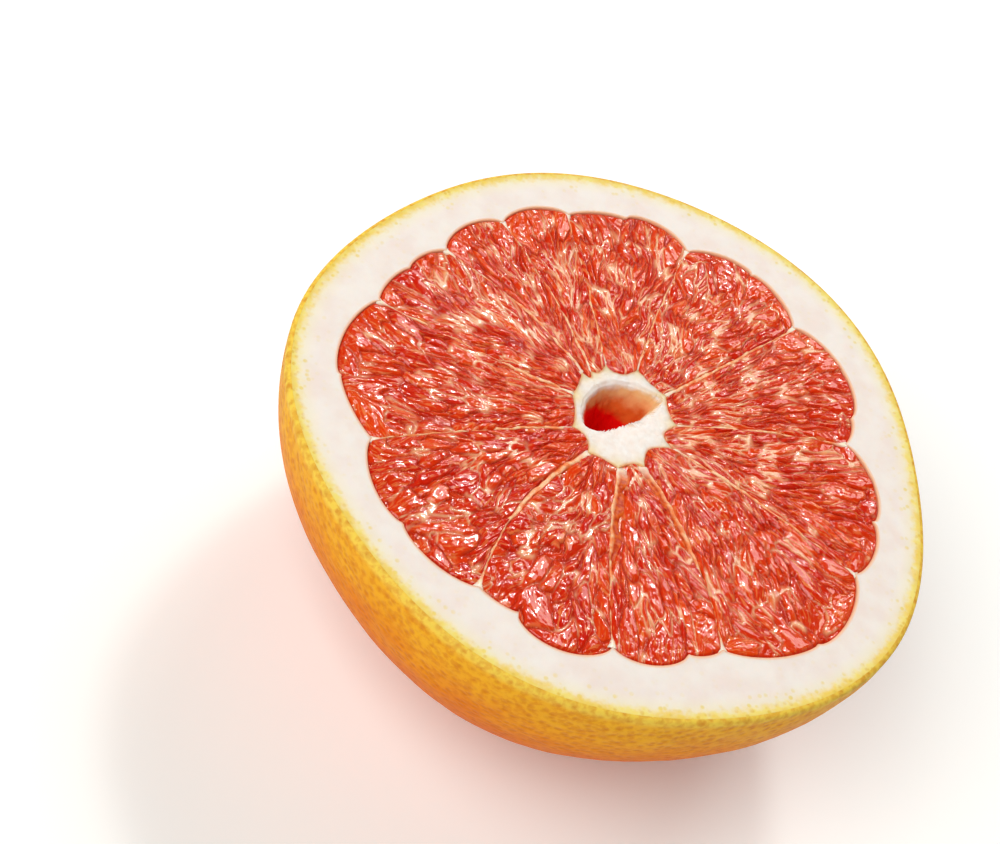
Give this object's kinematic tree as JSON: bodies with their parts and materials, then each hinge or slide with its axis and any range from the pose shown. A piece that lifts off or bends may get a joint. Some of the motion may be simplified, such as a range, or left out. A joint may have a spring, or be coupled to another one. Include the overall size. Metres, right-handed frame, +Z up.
{
  "type": "grapefruit half",
  "caption": "Half a red-fleshed grapefruit, cut across: lobed segments of juice sacs between thin walls, a pale pith ring and star core, yellow-orange skin; rests on its round end.",
  "frame": {"origin": "middle of the flat spot under the round end that the half rests on", "axes": "+Z up, out of the cut face; +Y away from the picture's camera; +X to its right"},
  "size_m": [0.1104, 0.1104, 0.0508],
  "materials": {
    "skin": "waxy pitted citrus skin, yellow-orange, satin",
    "pith": "spongy matt pith, cream white, with the skin's thin yellow cut edge round it",
    "pulp": "wet translucent juice sacs, deep orange-red, with pale thin borders",
    "walls": "thin moist segment walls, pale yellow-cream"
  },
  "bodies": {
    "root": {"grapefruit_half": "skin"}
  },
  "joints": []
}
